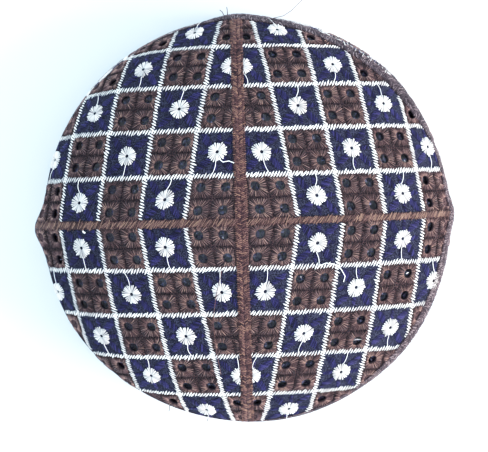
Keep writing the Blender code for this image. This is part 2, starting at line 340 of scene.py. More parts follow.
def roomLeft(gore, x, y):
    # how far a place of a gore's cloth lies inside the long seam, the side seam and the crown's edge
    across = x - seamOffset(y)
    arc, azimuth = crownPolar(gore["side"] * across, gore["end"] * y)
    return across, y, edgeArc(azimuth) - arc


# Materials

def newMaterial(name):
    material = bpy.data.materials.new(name)
    material.use_nodes = True
    return material, material.node_tree, material.node_tree.nodes["Principled BSDF"]


def addRamp(tree, factor, stops):
    # stops are places and hex colours, from low to high
    ramp = addNode(tree, "ShaderNodeValToRGB", {"Fac": factor})
    elements = ramp.color_ramp.elements
    for k in (0, -1):
        elements[k].position, elements[k].color = stops[k][0], linear(stops[k][1])
    for place, hexCode in stops[1:-1]:
        elements.new(place).color = linear(hexCode)
    return ramp.outputs["Color"]


def mixColours(tree, share, first, second):
    return addNode(tree, "ShaderNodeMix", {0: share, 6: first, 7: second}, data_type="RGBA").outputs[2]


# Each thread's tones from shadowed to silky, its roughness and sheen, the range of tones from stitch to
# stitch, the scale and amount of its drift over the cap, its flecks, how much painted light and shade change a
# stitch along its length, and the share of a stitch that is painted dark as shade where it goes down an eyelet
threadColumns = ("tones", "roughness", "sheen", "range", "scale", "amount", "fleck", "paintedShadeAlong", "paintedEyeletShade")
threads = {
    # bleached white, and brown with a silky light along each stitch
    "white": ("white_mercerised_thread", ("#bcb3b0", "#eae3de", "#f7f1ea"),
              0.6, 0.05, 0.8, 90.0, 0.2, 0.25, 0.0, 0.0),
    "brown": ("brown_mercerised_thread", ("#2b222a", "#7e6463", "#c9a797"),
              0.5, 0.1, 0.5, 45.0, 0.4, 0.6, 0.3, 0.2),
    # the fill beyond an eyelet's ring lies lower: its tones are the brown thread's darkened as painted shade
    "fill": ("brown_fill_thread", ("#1c171d", "#3e3133", "#664f4b"),
              0.55, 0.1, 0.8, 45.0, 0.3, 0.6, 0.0, 0.0),
    # the long seam's redder brown
    "braid": ("brown_seam_thread", ("#2e2128", "#6c4f4d", "#947363"),
              0.5, 0.1, 0.8, 40.0, 0.5, 0.9, 0.0, 0.0),
    # dark violet leaves, which hardly part from the navy ground
    "purple": ("purple_navy_thread", ("#1c1a2e", "#302c4f", "#48426c"),
              0.5, 0.05, 1.0, 70.0, 0.5, 0.6, 0.0, 0.0),
    # nearly black, between the eyelets of a square: it stands for the dark ground there and painted shade in the
    # gaps
    "dark": ("dark_parting_thread", ("#110f15", "#1f1a22", "#3c333a"),
              0.6, 0.05, 1.0, 70.0, 0.3, 0.4, 0.0, 0.0),
    # the side bands' slightly yellower brown
    "tan": ("tan_satin_thread", ("#332626", "#735853", "#9b7d6c"),
              0.5, 0.1, 0.8, 40.0, 0.5, 0.6, 0.0, 0.0),
    # the edge's thread is worn and greyer
    "edge": ("worn_edge_thread", ("#2a2228", "#65565a", "#9c8a8a"),
              0.6, 0.1, 0.8, 40.0, 0.5, 0.9, 0.0, 0.0),
    # pale violet stitches down inside the eyelets, which paint the holes' mottled light
    "holeSpecks": ("violet_thread_ends", ("#39354e", "#6f6b8a", "#bab6cc"),
              0.6, 0.05, 1.0, 70.0, 0.4, 0.6, 0.0, 0.0),
}


def threadMaterial(name, thread):
    # mercerised cotton thread: each stitch has its own tone, with a fine twist
    material, tree, shader = newMaterial(name)
    shade = addNode(tree, "ShaderNodeAttribute", attribute_name="shade")
    own = calc(tree, "MULTIPLY_ADD", shade.outputs["Fac"], thread["range"], 0.5 - 0.5 * thread["range"])
    place = addNode(tree, "ShaderNodeTexCoord").outputs["Object"]
    patch = addNode(tree, "ShaderNodeTexNoise", {"Vector": place, "Scale": thread["scale"], "Detail": 2.0,
                                                 "Roughness": 0.6})
    drift = calc(tree, "MULTIPLY_ADD", patch.outputs["Fac"], thread["amount"],
                 -0.5 * (thread["amount"] + thread["fleck"]))
    fleck = addNode(tree, "ShaderNodeTexNoise", {"Vector": place, "Scale": 1600.0, "Detail": 1.0})
    both = calc(tree, "MULTIPLY_ADD", fleck.outputs["Fac"], thread["fleck"], drift)
    # painted light and shade along a stitch: its tone is raised by its start and lowered towards its far end, so
    # a ray is lighter by its eyelet and darker where it meets its square's side
    spread = addNode(tree, "ShaderNodeUVMap", uv_map="threadUv").outputs["UV"]
    along = addNode(tree, "ShaderNodeSeparateXYZ", {0: spread}).outputs["X"]
    withPaintedShadeAlong = calc(tree, "MULTIPLY_ADD", along, -thread["paintedShadeAlong"], both)
    tone = calc(tree, "ADD", own, calc(tree, "ADD", withPaintedShadeAlong, 0.5 * thread["paintedShadeAlong"]), use_clamp=True)
    colour = addRamp(tree, tone, list(zip((0.0, 0.5, 1.0), thread["tones"])))
    # painted shade: the start of a stitch that goes down an eyelet is darkened to a deep violet
    if thread["paintedEyeletShade"]:
        paintedEyeletShade = addNode(tree, "ShaderNodeMapRange", {0: along, 1: 0.0, 2: thread["paintedEyeletShade"], 3: 1.0, 4: 0.0},
                        interpolation_type="SMOOTHSTEP")
        colour = mixColours(tree, paintedEyeletShade.outputs[0], colour, linear("#1a1730"))
    # the two plies turn round each other, drawn about 3 times to a stitch
    twist = addNode(tree, "ShaderNodeTexWave", {"Vector": spread, "Scale": 1.6, "Distortion": 0.4},
                    wave_type="BANDS", bands_direction="DIAGONAL")
    bump = addNode(tree, "ShaderNodeBump", {"Height": twist.outputs["Fac"], "Strength": 0.35,
                                            "Distance": 0.08 * mm})
    setInputs(shader, {"Base Color": colour, "Normal": bump.outputs["Normal"], "Roughness": thread["roughness"],
                       "Specular IOR Level": 0.12, "Sheen Weight": thread["sheen"], "Sheen Roughness": 0.4})
    return material


def groundMaterial():
    # plain-woven cotton under the stitches: matt and dark, with a thread every 0.7 mm each way
    material, tree, shader = newMaterial("woven_cotton_ground")
    navy = addNode(tree, "ShaderNodeAttribute", attribute_name="navy")
    place = addNode(tree, "ShaderNodeTexCoord").outputs["Object"]
    mottle = addNode(tree, "ShaderNodeTexNoise", {"Vector": place, "Scale": 2200.0, "Detail": 1.0,
                                                  "Roughness": 0.6})
    tones = [addRamp(tree, mottle.outputs["Fac"], ((0.4, dark), (0.62, light)))
             for dark, light in (("#2e242a", "#655150"), ("#191926", "#454452"))]
    outside = mixColours(tree, navy.outputs["Fac"], *tones)
    # inside, the stitches' backs leave it a paler violet
    back = addNode(tree, "ShaderNodeAttribute", attribute_name="back")
    colour = mixColours(tree, back.outputs["Fac"], outside, linear("#775f86"))
    flat = addNode(tree, "ShaderNodeUVMap", uv_map="clothUv").outputs["UV"]
    weave = [addNode(tree, "ShaderNodeTexWave", {"Vector": flat, "Scale": 9.0}, wave_type="BANDS",
                     bands_direction=direction).outputs["Fac"] for direction in ("X", "Y")]
    bump = addNode(tree, "ShaderNodeBump", {"Height": calc(tree, "MULTIPLY", *weave), "Strength": 0.6,
                                            "Distance": 0.1 * mm})
    setInputs(shader, {"Base Color": colour, "Normal": bump.outputs["Normal"], "Roughness": 0.9,
                       "Specular IOR Level": 0.08})
    return material


materials = {key: threadMaterial(name, dict(zip(threadColumns, values)))
             for key, (name, *values) in threads.items()}
materials["ground"] = groundMaterial()
print("materials made:", ", ".join(sorted(materials)))


# Stitch shapes: one length of thread along x, closed, with its back flat on the cloth

def stitchObject(name, start, rings, sides, drops=()):
    # rings are (place along the stitch, breadth, height), with a point at each end; drops, in thread
    # heights, take the first tip and rings down through an eyelet. The thread's section is flat below
    shape = bmesh.new()
    uv = shape.loops.layers.uv.new("threadUv")
    drops = tuple(drops) + (0,) * (len(rings) + 1 - len(drops))
    tips = [shape.verts.new((start, 0, 0.15 - drops[0])), shape.verts.new((start + 1, 0, 0.15))]
    loops = []
    for (place, breadth, height), drop in zip(rings, drops[1:]):
        loop = []
        for k in range(sides):
            turn = 2 * math.pi * (k + 0.5) / sides - math.pi / 2
            across = math.cos(turn) * 0.5 * breadth
            up = max(0.0, 0.3 + 0.7 * math.sin(turn)) * height
            loop.append(shape.verts.new((start + place, across, up - drop)))
        loops.append(loop)
    for loop, after in zip(loops, loops[1:]):
        for k in range(sides):
            j = (k + 1) % sides
            shape.faces.new((loop[k], loop[j], after[j], after[k]))
    for k in range(sides):
        j = (k + 1) % sides
        shape.faces.new((tips[0], loops[0][j], loops[0][k]))
        shape.faces.new((tips[1], loops[-1][k], loops[-1][j]))
    bmesh.ops.recalc_face_normals(shape, faces=shape.faces)
    for face in shape.faces:
        face.smooth = True
        for corner in face.loops:
            corner[uv].uv = (corner.vert.co.x - start, corner.vert.co.y)
    mesh = bpy.data.meshes.new(name)
    shape.to_mesh(mesh)
    shape.free()
    return bpy.data.objects.new(name, mesh)


stitches = {
    # laid across a line, so it starts half its length before its place
    "satin": stitchObject("satin_stitch", -0.5, ((0.03, 0.22, 0.5), (0.34, 1.0, 1.0), (0.66, 1.0, 1.0),
                                                 (0.97, 0.22, 0.5)), 5),
    "fine": stitchObject("fine_stitch", -0.5, ((0.12, 0.8, 0.8), (0.88, 0.8, 0.8)), 4),
    # laid outwards from a hole or a flower's middle, so it widens
    "ray": stitchObject("ray_stitch", 0.0, ((0.0, 0.6, 0.7), (0.14, 0.7, 0.95), (0.8, 1.0, 0.9)), 3,
                        (3.0, 2.6, 0, 0)),
    "fill": stitchObject("fill_stitch", 0.0, ((0.02, 0.8, 0.8), (0.96, 1.0, 0.7)), 3),
    "petal": stitchObject("petal_stitch", 0.0, ((0.04, 0.35, 0.8), (0.5, 0.8, 1.0), (0.93, 1.0, 0.8)), 5),
}


# Geometry Nodes trees for the needlework

stitchSockets = {"Stitch": "Object", "Material": "Material", "Thread width": "Float", "Thread height": "Float",
                 "Uneven length": "Float", "Lift": "Float", "Seed": "Int", "Darker": "Float"}
shortest = {"satin": 0.2 * mm, "rays": 0.3 * mm}
leafTaper = 0.7                   # below 1, so that a leaf stays wide along its middle


def newTree(name, sockets):
    # sockets are the inputs' names and kinds; the last thing returned does the tree's arithmetic
    tree = bpy.data.node_groups.new(name, "GeometryNodeTree")
    for label, kind in {"Geometry": "Geometry", **sockets}.items():
        tree.interface.new_socket(label, in_out="INPUT", socket_type="NodeSocket" + kind)
    tree.interface.new_socket("Geometry", in_out="OUTPUT", socket_type="NodeSocketGeometry")
    return tree, addNode(tree, "NodeGroupInput").outputs, partial(calc, tree)


def named(tree, name):
    return addNode(tree, "GeometryNodeInputNamedAttribute", {"Name": name}, data_type="FLOAT").outputs[0]


def combine(tree, **parts):
    return addNode(tree, "ShaderNodeCombineXYZ", parts).outputs[0]


def capture(tree, geometry, values):
    # keeps what the values are here, for further down the tree
    node = addNode(tree, "GeometryNodeCaptureAttribute", {"Geometry": geometry})
    for name in values:
        node.capture_items.new("FLOAT", name)
    setInputs(node, values)
    return node.outputs


def randomPart(tree, given, low, high, seedStep):
    seed = calc(tree, "ADD", given["Seed"], seedStep)
    node = addNode(tree, "FunctionNodeRandomValue", {"Seed": seed, 2: low, 3: high}, data_type="FLOAT")
    return node.outputs[1]


def endTree(tree, given, geometry, shade, domain):
    stored = addNode(tree, "GeometryNodeStoreNamedAttribute",
                     {"Geometry": geometry, "Name": "shade", "Value": shade}, data_type="FLOAT", domain=domain)
    real = addNode(tree, "GeometryNodeRealizeInstances", {"Geometry": stored.outputs[0]})
    painted = addNode(tree, "GeometryNodeSetMaterial", {"Geometry": real.outputs[0],
                                                        "Material": given["Material"]})
    addNode(tree, "NodeGroupOutput", {"Geometry": painted.outputs[0]})
    return tree


def placeStitches(tree, given, points, turn, length, slip):
    # a stitch at each point, turned on the cloth, slipped along itself and with a tone of its own
    offset = combine(tree, X=calc(tree, "MULTIPLY", calc(tree, "COSINE", turn), slip),
                     Y=calc(tree, "MULTIPLY", calc(tree, "SINE", turn), slip), Z=given["Lift"])
    moved = addNode(tree, "GeometryNodeSetPosition", {"Geometry": points, "Offset": offset}).outputs[0]
    shape = addNode(tree, "GeometryNodeObjectInfo", {"Object": given["Stitch"], "As Instance": True})
    scale = combine(tree, X=length, Y=given["Thread width"], Z=given["Thread height"])
    placed = addNode(tree, "GeometryNodeInstanceOnPoints",
                     {"Points": moved, "Instance": shape.outputs["Geometry"], "Rotation": combine(tree, Z=turn),
                      "Scale": scale})
    shade = calc(tree, "SUBTRACT", randomPart(tree, given, 0.0, 1.0, 3), given["Darker"])
    return endTree(tree, given, placed.outputs[0], shade, "INSTANCE")


def buildSatinTree():
    # stitches laid across lines: the line's own "reach" is their length and "lean" their slant
    tree, given, do = newTree("satin_rows", {**stitchSockets, "Spacing": "Float", "Leaf": "Float",
                                             "Uneven slant": "Float"})
    line = addNode(tree, "GeometryNodeMeshToCurve", {"Mesh": given["Geometry"]}).outputs[0]
    kept = capture(tree, line, {"Factor": addNode(tree, "GeometryNodeSplineParameter").outputs["Factor"]})
    points = addNode(tree, "GeometryNodeCurveToPoints", {"Curve": kept["Geometry"], "Length": given["Spacing"]},
                     mode="LENGTH").outputs
    way = addNode(tree, "ShaderNodeSeparateXYZ", {0: points["Tangent"]}).outputs
    heading = do("ADD", do("ARCTAN2", way["Y"], way["X"]), math.pi / 2)
    slant = do("MULTIPLY", randomPart(tree, given, -1.0, 1.0, 1), given["Uneven slant"])
    turn = do("ADD", heading, do("ADD", named(tree, "lean"), slant))
    # a leaf narrows to both ends, a plain row doesn't
    narrow = do("POWER", do("SINE", do("MULTIPLY", kept["Factor"], math.pi)), leafTaper)
    taper = do("ADD", do("MULTIPLY", narrow, given["Leaf"]), do("SUBTRACT", 1.0, given["Leaf"]))
    uneven = do("MULTIPLY_ADD", randomPart(tree, given, -1.0, 1.0, 2), given["Uneven length"], 1.0)
    length = do("MULTIPLY", do("MULTIPLY", named(tree, "reach"), taper), uneven)
    length = do("MAXIMUM", length, shortest["satin"])
    # no two stitches end in a line
    share = do("MULTIPLY", randomPart(tree, given, -0.5, 0.5, 4), given["Uneven length"])
    slip = do("MULTIPLY", share, length)
    return placeStitches(tree, given, points["Points"], turn, length, slip)


def buildRayTree():
    # stitches laid outwards from each point, as far as its square or the longest allowed
    tree, given, do = newTree("ray_stitches", {**stitchSockets, "Count": "Int", "Start": "Float",
                                               "Longest": "Float", "Uneven angle": "Float"})
    centres = addNode(tree, "GeometryNodeMeshToPoints", {"Mesh": given["Geometry"]}).outputs[0]
    rays = addNode(tree, "GeometryNodeDuplicateElements", {"Geometry": centres, "Amount": given["Count"]},
                   domain="POINT").outputs
    stray = do("MULTIPLY", randomPart(tree, given, -1.0, 1.0, 1), given["Uneven angle"])
    step = do("DIVIDE", 2 * math.pi, given["Count"])
    angle = do("MULTIPLY_ADD", do("ADD", rays["Duplicate Index"], stray), step, named(tree, "turn"))
    # the way to the square's side is its span over the part of the ray that points there
    reach = given["Longest"]
    for axis, part in (("X", do("COSINE", angle)), ("Y", do("SINE", angle))):
        span = addNode(tree, "ShaderNodeMix", {0: do("GREATER_THAN", part, 0.0), 2: named(tree, "low" + axis),
                                               3: named(tree, "high" + axis)}, data_type="FLOAT").outputs[0]
        reach = do("MINIMUM", reach, do("DIVIDE", span, do("MAXIMUM", do("ABSOLUTE", part), 0.001)))
    uneven = do("MULTIPLY_ADD", randomPart(tree, given, -1.0, 1.0, 2), given["Uneven length"], 1.0)
    length = do("SUBTRACT", do("MULTIPLY", reach, uneven), given["Start"])
    length = do("MAXIMUM", length, shortest["rays"])
    kept = capture(tree, rays["Geometry"], {"Angle": angle, "Length": length})
    return placeStitches(tree, given, kept["Geometry"], kept["Angle"], kept["Length"], given["Start"])


def buildThreadTree():
    # a single round thread along each line
    tree, given, do = newTree("loose_thread", {"Material": "Material", "Thread width": "Float",
                                               "Shade": "Float"})
    line = addNode(tree, "GeometryNodeMeshToCurve", {"Mesh": given["Geometry"]}).outputs[0]
    radius = do("MULTIPLY", given["Thread width"], 0.5)
    ring = addNode(tree, "GeometryNodeCurvePrimitiveCircle", {"Radius": radius, "Resolution": 6}).outputs[0]
    tube = addNode(tree, "GeometryNodeCurveToMesh", {"Curve": line, "Profile Curve": ring, "Fill Caps": True})
    return endTree(tree, given, tube.outputs[0], given["Shade"], "POINT")


trees = {"satin": buildSatinTree(), "rays": buildRayTree(), "thread": buildThreadTree()}


def runTree(name, guide, inputs):
    # makes a tree's plain mesh on a guide of lines or points; a stitch and a material go by their keys
    shared = {"Stitch": stitches, "Material": materials}
    carrier = bpy.data.objects.new("guide", guide)
    scene.collection.objects.link(carrier)
    modifier = carrier.modifiers.new(name, "NODES")
    modifier.node_group = trees[name]
    for item in trees[name].interface.items_tree:
        if item.in_out == "INPUT" and item.name in inputs:
            value = inputs[item.name]
            modifier[item.identifier] = shared[item.name][value] if item.name in shared else value
    bpy.context.view_layer.update()
    graph = bpy.context.evaluated_depsgraph_get()
    made = bpy.data.meshes.new_from_object(carrier.evaluated_get(graph), preserve_all_data_layers=True,
                                           depsgraph=graph)
    bpy.data.objects.remove(carrier, do_unlink=True)
    return made


def sewPiece(name, tree, guide, bend, inputs, seed=0):
    return addPiece(name, bendMesh(runTree(tree, guide, {**inputs, "Seed": seed}), bend))


def guideMesh(lines, **values):
    # lines are lists of points, and each attribute has a number for each line or one for all
    counts = [len(line) for line in lines]
    starts = np.cumsum([0] + counts).tolist()
    edges = [(start + k, start + k + 1) for start, count in zip(starts, counts) for k in range(count - 1)]
    mesh = bpy.data.meshes.new("guide")
    mesh.from_pydata([(*point, 0.0)[:3] for line in lines for point in line], edges, [])
    for name, numbers in values.items():
        spread = np.repeat(np.broadcast_to(np.asarray(numbers, np.float32), len(lines)), counts)
        mesh.attributes.new(name, "FLOAT", "POINT").data.foreach_set("value", spread)
    return mesh


# Cloth: flat squares with real eyelets, clamped to the piece's outline, doubled into a thin solid

clothCut = {
    "steps": 6,
    "rings": (0.0, 0.14, 0.5, 1.0),
    "clear": 0.6 * mm,            # of cloth left between an eyelet and the outline
    "same": 0.01 * mm,
    "nearlySame": 0.03 * mm,
    "noLength": 0.02 * mm,
}
# where a square's four eyelets lie and what each one's stitches fill, in sides of the square
crownGrid = {"place": gorePlace, "x": (0.215, 0.752), "y": (0.265, 0.762),
             "spanX": ((0.055, 0.471), (0.503, 0.945)), "spanY": ((0.055, 0.500), (0.534, 0.945))}
wallGrid = {"place": wallPlace, "x": (0.25, 0.75), "y": (0.27, 0.75),
            "spanX": ((0.055, 0.487), (0.513, 0.945)), "spanY": ((0.055, 0.49), (0.52, 0.945))}


def quarterCloth(low, high, hole):
    # vertices and faces of a quarter of a square between two corners, plain or round an eyelet
    steps = clothCut["steps"]
    if hole is None:
        line = np.linspace(0, 1, steps + 1)
        spread = low + np.stack(np.meshgrid(line, line), -1).reshape(-1, 2) * (high - low)
        starts = [j * (steps + 1) + i for j in range(steps) for i in range(steps)]
        return spread, [(k, k + 1, k + steps + 2, k + steps + 1) for k in starts]
    share, near, far = np.arange(steps) / steps, np.zeros(steps), np.ones(steps)
    sides = ((share, near), (far, share), (1 - share, far), (near, 1 - share))
    border = low + np.concatenate([np.stack(side, -1) for side in sides]) * (high - low)
    spokes = border - hole
    circle = hole + spokes / np.linalg.norm(spokes, axis=1, keepdims=True) * form["eyelet"]
    spread = np.concatenate([circle + (border - circle) * out for out in clothCut["rings"]])
    count = len(border)
    faces = []
    for ring in range(len(clothCut["rings"]) - 1):
        for k in range(count):
            this, after = ring * count + k, ring * count + (k + 1) % count
            faces.append((this + count, after + count, after, this))
    return spread, faces


def cutSquares(grid, squares, fits):
    # all the squares' vertices and faces, with an eyelet in each quarter of a brown one where it fits
    place, made = grid["place"], []
    for column, row in squares:
        for i, j in quarters:
            low, high = [place(column + (i + k) / 2, row + (j + k) / 2) for k in (0, 1)]
            hole = place(column + grid["x"][i], row + grid["y"][j])
            pierced = not isNavy(column, row) and fits(column, hole)
            made.append(quarterCloth(low, high, hole if pierced else None))
    starts = np.cumsum([0] + [len(spread) for spread, faces in made]).tolist()
    spread = np.concatenate([spread for spread, faces in made])
    # the shared borders are merged
    keys = np.round(spread / clothCut["same"]).astype(np.int64)
    first, back = np.unique(keys, axis=0, return_index=True, return_inverse=True)[1:]
    back = back.ravel().tolist()
    return spread[first], [tuple(back[start + k] for k in face)
                           for start, (places, faces) in zip(starts, made) for face in faces]


def thickCloth(name, places, faces, navyOf, bend):
    # tidies a flat sheet, doubles it into a closed cloth, notes its faces' colours and bends it
    sheet = bpy.data.meshes.new("flat")
    sheet.from_pydata([(x, y, 0.0) for x, y in places], [], faces)
    tidy = bmesh.new()
    tidy.from_mesh(sheet)
    bmesh.ops.remove_doubles(tidy, verts=tidy.verts, dist=clothCut["nearlySame"])
    bmesh.ops.dissolve_degenerate(tidy, edges=tidy.edges, dist=clothCut["noLength"])
    bmesh.ops.delete(tidy, geom=[vert for vert in tidy.verts if not vert.link_faces], context="VERTS")
    tidy.verts.index_update()
    spread = np.array([vert.co[:2] for vert in tidy.verts])
    faces = [tuple(vert.index for vert in face.verts) for face in tidy.faces]
    tidy.free()
    bpy.data.meshes.remove(sheet)
    count = len(spread)
    sides = dict.fromkeys(side for face in faces for side in zip(face, face[1:] + face[:1]))
    walls = [(a, a + count, b + count, b) for a, b in sides if (b, a) not in sides]
    every = faces + [tuple(k + count for k in reversed(face)) for face in faces] + walls
    points = np.concatenate([np.insert(spread, 2, height, axis=1) for height in (0.0, -form["cloth"])])
    mesh = bpy.data.meshes.new(name)
    mesh.from_pydata(points.tolist(), [], every)
    middles = np.array([points[list(face), :2].mean(axis=0) for face in every])
    backs = np.arange(len(every)) // len(faces) == 1
    for note, values in (("navy", navyOf(middles)), ("back", backs)):
        mesh.attributes.new(note, "FLOAT", "FACE").data.foreach_set("value", values.astype(np.float32))
    corners = np.zeros(len(mesh.loops), np.int32)
    mesh.loops.foreach_get("vertex_index", corners)
    flat = (points[corners, :2] / cell).astype(np.float32)
    mesh.uv_layers.new(name="clothUv").data.foreach_set("uv", flat.ravel())
    bendMesh(mesh, bend)
    mesh.validate()
    return mesh


def goreCloth(gore):
    side, end = gore["side"], gore["end"]

    def fits(column, hole):
        return column >= 0 and min(roomLeft(gore, *hole)) >= form["eyelet"] + clothCut["clear"]

    spread, faces = cutSquares(crownGrid, goreSquares, fits)
    x, y = spread[:, 0], spread[:, 1]
    across, along, room = roomLeft(gore, x, y)
    outside = (across < layout["gap"]) | (along < layout["gap"]) | (room < -layout["hem"])
    # what lies past the outline is drawn in to it, and what then has no width is dropped
    arc, azimuth = crownPolar(np.maximum(across, layout["gap"]), np.maximum(along, layout["gap"]))
    real = np.arctan2(end * np.sin(azimuth), side * np.cos(azimuth))
    polar = np.minimum(arc, edgeArc(real) + layout["hem"]) / form["domeRadius"]
    rise = np.arcsin(np.sin(polar) * np.sin(azimuth))
    swing = np.arctan2(np.sin(polar) * np.cos(azimuth), np.cos(polar))
    yIn = rise * form["domeRadius"]
    xIn = swing * form["domeRadius"] * np.cos(rise) + seamOffset(yIn)
    x, y = np.where(outside, xIn, x), np.where(outside, yIn, y)
    faces = [face for face in faces if not all(outside[k] for k in face)]
    if side * end < 0:
        faces = [tuple(reversed(face)) for face in faces]

    def navyOf(middles):
        column, row = np.floor((np.abs(middles) - layout["margin"]) / cell).T
        return isNavy(column, row) & (column >= 0)

    def bend(flat):
        arc, azimuth = gorePolar(flat[:, 0], flat[:, 1], layout["hem"])
        return lifted(capPoint, arc, azimuth, flat[:, 2])

    return thickCloth("gore_cloth_" + gore["name"], np.stack(tablePlace(gore, x, y), -1), faces, navyOf, bend)


def wallCloth():
    # the wall is two rows of squares, a little wider than the crown's, all the way round
    spread, faces = cutSquares(wallGrid, wallSquares, lambda column, hole: True)
    # its ends meet, so the places on the last line are swapped for those on the first
    ends = [np.where(np.abs(spread[:, 0] - x) < clothCut["same"])[0]
            for x in (wallStart, wallStart + wallRound)]
    first, last = [end[np.argsort(spread[end, 1])].tolist() for end in ends]
    swap = dict(zip(last, first))
    faces = [tuple(swap.get(k, k) for k in face) for face in faces]

    def navyOf(middles):
        column, level = np.floor((middles - wallPlace(0, 0)) / (wallCell, layout["wallRow"])).T
        return isNavy(column, level)

    return thickCloth("wall_cloth", spread, faces, navyOf, overWall)


for gore in gores:
    cloth = addPiece("gore_cloth_" + gore["name"], goreCloth(gore), material="ground")
    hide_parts("crown_gore_" + gore["name"])
sideCloth = addPiece("wall_cloth", wallCloth(), material="ground")
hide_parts("side_wall")


# White lines between the squares

whiteLines = {
    "breadth": 2.35 * mm,         # of the whole line
    "levelAngle": math.radians(56),     # of the stitches seen from above: like a slash on the level lines
    "uprightAngle": math.radians(148),  # and like a backslash on the upright ones
    "step": 1.0 * mm,
    "underBand": 1.2 * mm,        # the lines run this far under the bands
    "foot": 0.4 * mm,             # gaps between the wall's lines and its ends
    "lowest": 1.2 * mm,
    "highest": 0.4 * mm,
    "satin": {"Stitch": "satin", "Material": "white", "Spacing": 1.22 * mm, "Thread width": 0.68 * mm,
              "Thread height": 0.34 * mm, "Uneven length": 0.24, "Uneven slant": 0.2},
}


def insideRuns(gore, points, room):
    # the stretches of a line whose points lie inside the gore's outline by the given room
    runs = [[]]
    for x, y in points:
        if all(left > least for left, least in zip(roomLeft(gore, x, y), room)):
            runs[-1].append(tablePlace(gore, x, y))
        else:
            runs.append([])
    return [run for run in runs if len(run) > 2]


def goreLines(gore):
    under = whiteLines["underBand"]
    room = (form["longBand"] / 2 - under, form["sideBand"] / 2 - under, -layout["hem"])
    steps = np.arange(0, layout["squares"] * cell, whiteLines["step"])
    places = [k * cell for k in range(1, layout["squares"])]
    upright = [run for x in places for run in insideRuns(gore, [(x, y) for y in steps], room)]
    level = [run for y in places for run in insideRuns(gore, [(x, y) for x in steps], room)]
    return upright, level, form["seamLean"] * gore["side"] * gore["end"]


def flatAngle(angle, skew):
    # the angle on the table of what has the given angle on the cap, where the seam skews the gore
    return math.atan2(math.sin(angle), math.cos(angle) + skew * math.sin(angle))


def whiteGuide(groups):
    # each group has its upright lines, its level lines and its gore's skew
    lines, leans = [], []
    for upright, level, skew in groups:
        lines += upright + level
        leans += [flatAngle(whiteLines["uprightAngle"], skew) - math.pi] * len(upright)
        leans += [flatAngle(whiteLines["levelAngle"], skew) - math.pi / 2] * len(level)
    return guideMesh(lines, reach=whiteLines["breadth"] / np.cos(leans), lean=leans)


crownLines = sewPiece("white_lines_crown", "satin", whiteGuide([goreLines(gore) for gore in gores]), overGores,
                      whiteLines["satin"], 11)
wallFoot, wallTop = wallPlace(0, 0)[1], wallPlace(0, 2)[1]
rows = (wallFoot + whiteLines["lowest"], wallPlace(0, 1)[1], wallTop - whiteLines["highest"])
upright = [[(x, wallFoot + whiteLines["foot"]), (x, wallTop)]
           for x in [wallPlace(column, 0)[0] for column in range(layout["wallColumns"])]]
level = [[(wallPlace(k / 4, 0)[0], y) for k in range(4 * layout["wallColumns"] + 1)] for y in rows]
wallLines = sewPiece("white_lines_wall", "satin", whiteGuide([(upright, level, 0.0)]), overWall,
                     whiteLines["satin"], 12)
print("white lines made:", len(crownLines.data.polygons) + len(wallLines.data.polygons), "faces")


# Brown stitches round the eyelets

eyeletRays = {
    "turn": 0.61,                 # from one eyelet's first stitch to the next one's
    "hidden": 2.5 * mm,           # eyelets this far past a seam are left out
    "clear": 0.5 * mm,            # between their stitches and the long band
    # a ring that goes down the eyelet, a layer under and past it that painted shade darkens, and pale stitches
    # down the hole that paint its specks of light: the piece's ending, what is added to the seed, and the tree's
    # inputs
    "layers": (
        ("", 0, {
            "Stitch": "ray", "Material": "brown", "Count": 32, "Start": form["eyelet"] - 0.28 * mm,
            "Longest": 5.6 * mm, "Thread width": 0.46 * mm, "Thread height": 0.4 * mm, "Uneven length": 0.07,
            "Uneven angle": 0.2, "Lift": 0.15 * mm}),
        ("_fill", 5, {
            "Stitch": "fill", "Material": "fill", "Count": 40, "Start": 2.4 * mm, "Longest": 6.4 * mm,
            "Thread width": 0.62 * mm, "Thread height": 0.3 * mm, "Uneven length": 0.06, "Uneven angle": 0.3}),
        ("_fibres", 9, {
            "Stitch": "fill", "Material": "holeSpecks", "Count": 7, "Start": 0.5 * mm, "Longest": 2.5 * mm,
            "Thread width": 0.3 * mm, "Thread height": 0.2 * mm, "Uneven length": 0.3, "Uneven angle": 2.5,
            "Lift": -1.5 * mm}),
    ),
}


def eyeletSpans(grid, squares):
    # each eyelet's column, its place in its square, its middle and the corners that its stitches fill
    place = grid["place"]
    for column, row in squares:
        for i, j in quarters:
            if not isNavy(column, row):
                spanX, spanY = grid["spanX"][i], grid["spanY"][j]
                low, high = [place(column + spanX[k], row + spanY[k]) for k in (0, 1)]
                yield column, i, place(column + grid["x"][i], row + grid["y"][j]), low, high


def stitchEyelets(name, spans, bend, seed):
    middles, ends = np.array(spans)[:, 0], np.array(spans)[:, 1:]
    low, high = (middles - ends.min(axis=1)).T, (ends.max(axis=1) - middles).T
    guide = guideMesh(middles[:, None].tolist(), lowX=low[0], lowY=low[1], highX=high[0], highY=high[1],
                      turn=eyeletRays["turn"] * np.arange(1, len(spans) + 1))
    return [sewPiece(name + ending, "rays", guide, bend, inputs, seed + more)
            for ending, more, inputs in eyeletRays["layers"]]


spans = []
for gore in gores:
    for column, i, middle, low, high in eyeletSpans(crownGrid, goreSquares):
        if column >= 0 and min(roomLeft(gore, *middle)) >= -eyeletRays["hidden"]:
            if column == 0 and i == 0:
                beside = seamOffset(middle[1]) + form["longBand"] / 2 + eyeletRays["clear"]
                low[0] = max(beside, -eyeletRays["clear"])
            spans.append([tablePlace(gore, *place) for place in (middle, low, high)])
crownRays = stitchEyelets("eyelet_stitches_crown", spans, overGores, 21)
spans = [corners for column, i, *corners in eyeletSpans(wallGrid, wallSquares)]
wallRays = stitchEyelets("eyelet_stitches_wall", spans, overWall, 22)
print("eyelet stitches made:", sum(len(piece.data.polygons) for piece in crownRays + wallRays), "faces")
